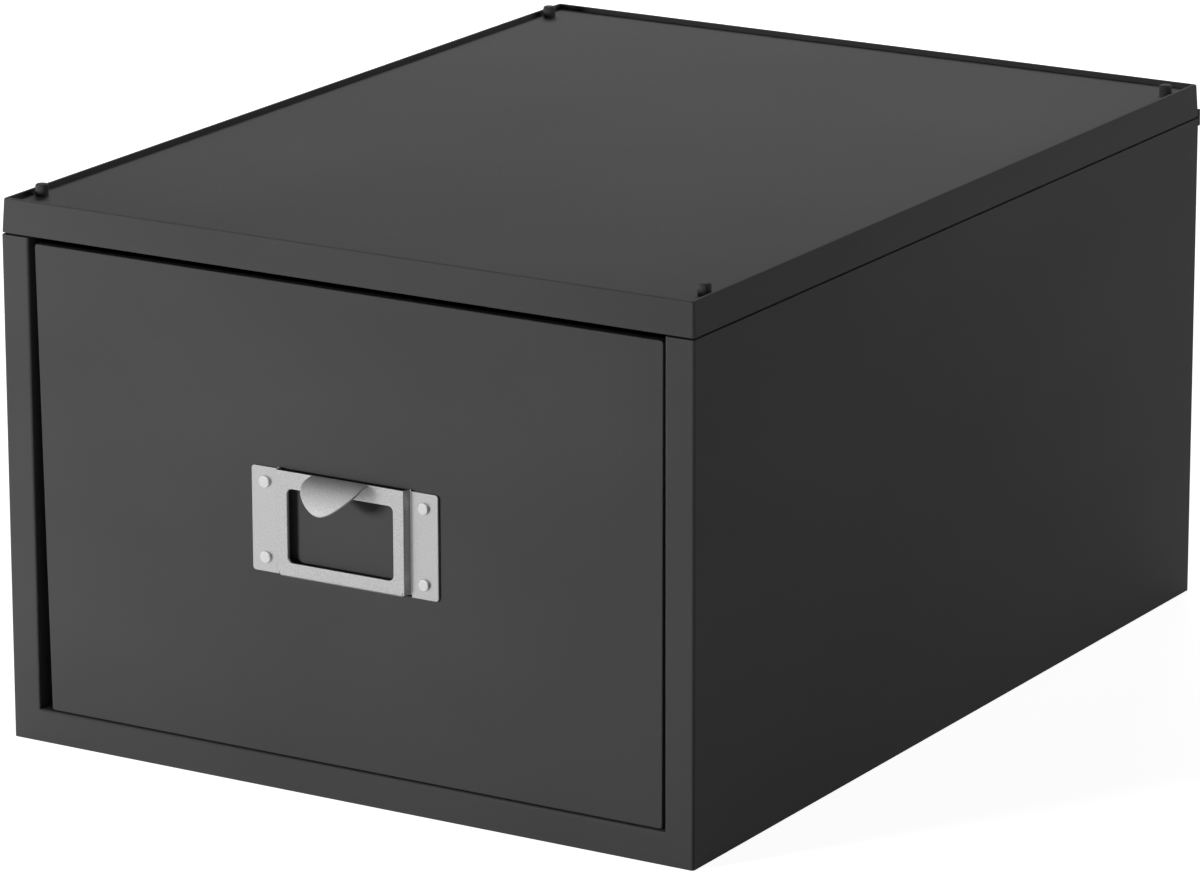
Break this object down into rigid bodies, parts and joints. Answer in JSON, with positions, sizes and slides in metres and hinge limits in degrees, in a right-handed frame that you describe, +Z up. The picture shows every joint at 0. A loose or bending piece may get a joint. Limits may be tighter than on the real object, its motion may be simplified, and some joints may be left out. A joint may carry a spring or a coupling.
{
  "type": "desktop file drawer",
  "caption": "Stackable desktop case with one pull-out drawer for A4 papers and a steel label holder with a finger tongue.",
  "frame": {"origin": "centre of the case's rectangular footprint, in the plane of the foot rim that it stands on", "axes": "+Z up, +Y from the drawer front towards the back of the case, +X to the right as seen from in front; the drawer opens along -Y"},
  "size_m": [0.26, 0.3623, 0.1852],
  "materials": {
    "case_plastic": "fine matte mould texture, charcoal",
    "runner_plastic": "slippery natural acetal, slightly waxy",
    "satin_steel": "satin stamped steel with a fine grain",
    "rivet_steel": "bright smooth flat rivet heads",
    "zinc_screw": "bright zinc plating"
  },
  "bodies": {
    "case": {"case_shell": "case_plastic", "top_panel": "case_plastic", "lid_clip_left": "case_plastic", "lid_clip_right": "case_plastic", "runner_left": "runner_plastic", "runner_right": "runner_plastic"},
    "drawer": {"drawer_tray": "case_plastic", "drawer_front": "case_plastic", "front_screws": "zinc_screw", "label_holder": "satin_steel", "holder_rivets": "rivet_steel", "rivet_washers": "zinc_screw"}
  },
  "joints": [
    {"name": "drawer_slide", "type": "slide", "parent": "case", "child": "drawer", "axis": [0, -1, 0], "range_m": [0, 0.24]}
  ]
}
